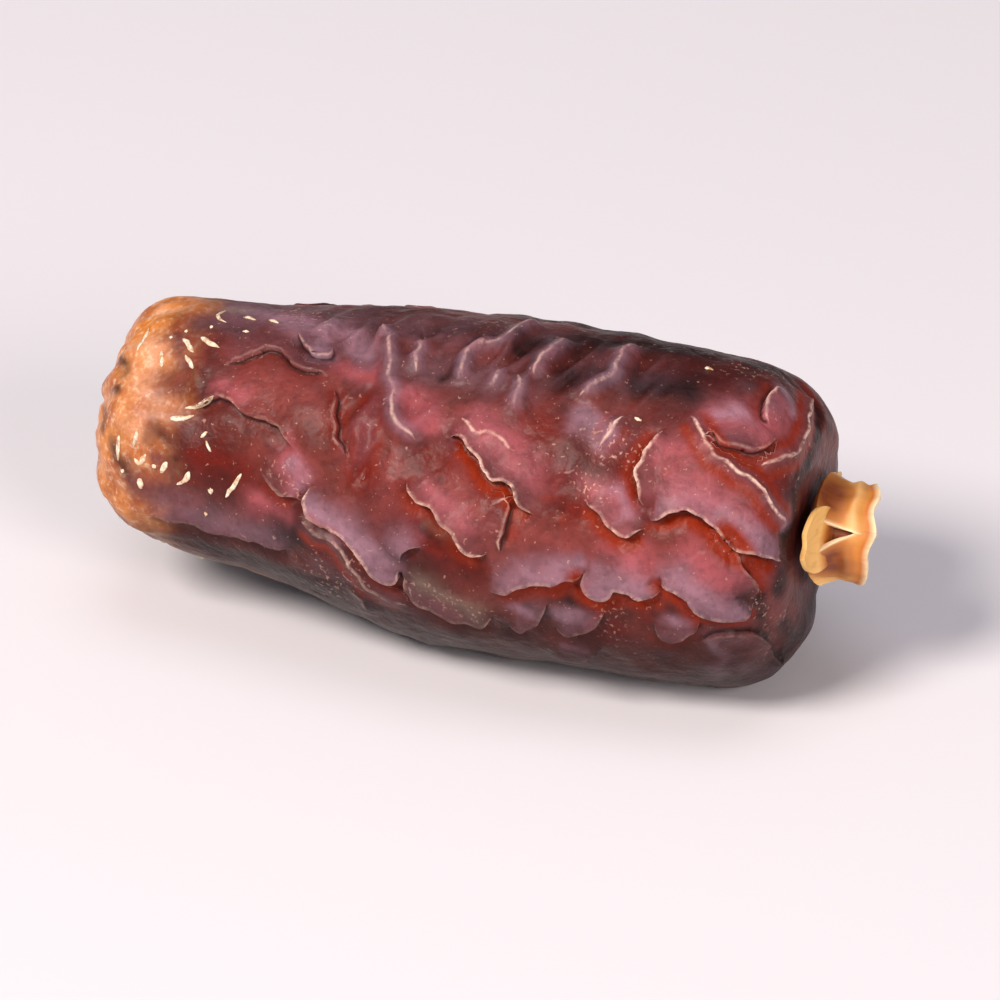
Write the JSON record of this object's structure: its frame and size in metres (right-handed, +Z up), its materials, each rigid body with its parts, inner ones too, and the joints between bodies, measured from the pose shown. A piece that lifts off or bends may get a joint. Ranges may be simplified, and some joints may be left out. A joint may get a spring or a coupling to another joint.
{
  "type": "date fruit",
  "caption": "Whole ripe dried date lying on its side, with folded glossy skin, a blunt pale-flecked tip and a dry calyx at the stalk end.",
  "frame": {"origin": "on the surface that the fruit rests on, under the middle of its box", "axes": "+X along the fruit, from the blunt tip to the calyx; +Z up; the side with the traced folds faces -Y"},
  "size_m": [0.046, 0.0201, 0.0192],
  "materials": {
    "skin": "glossy to satin, wrinkled",
    "dry_calyx": "matt, dry and papery"
  },
  "bodies": {
    "root": {"fruit": "skin", "calyx": "dry_calyx"}
  },
  "joints": []
}
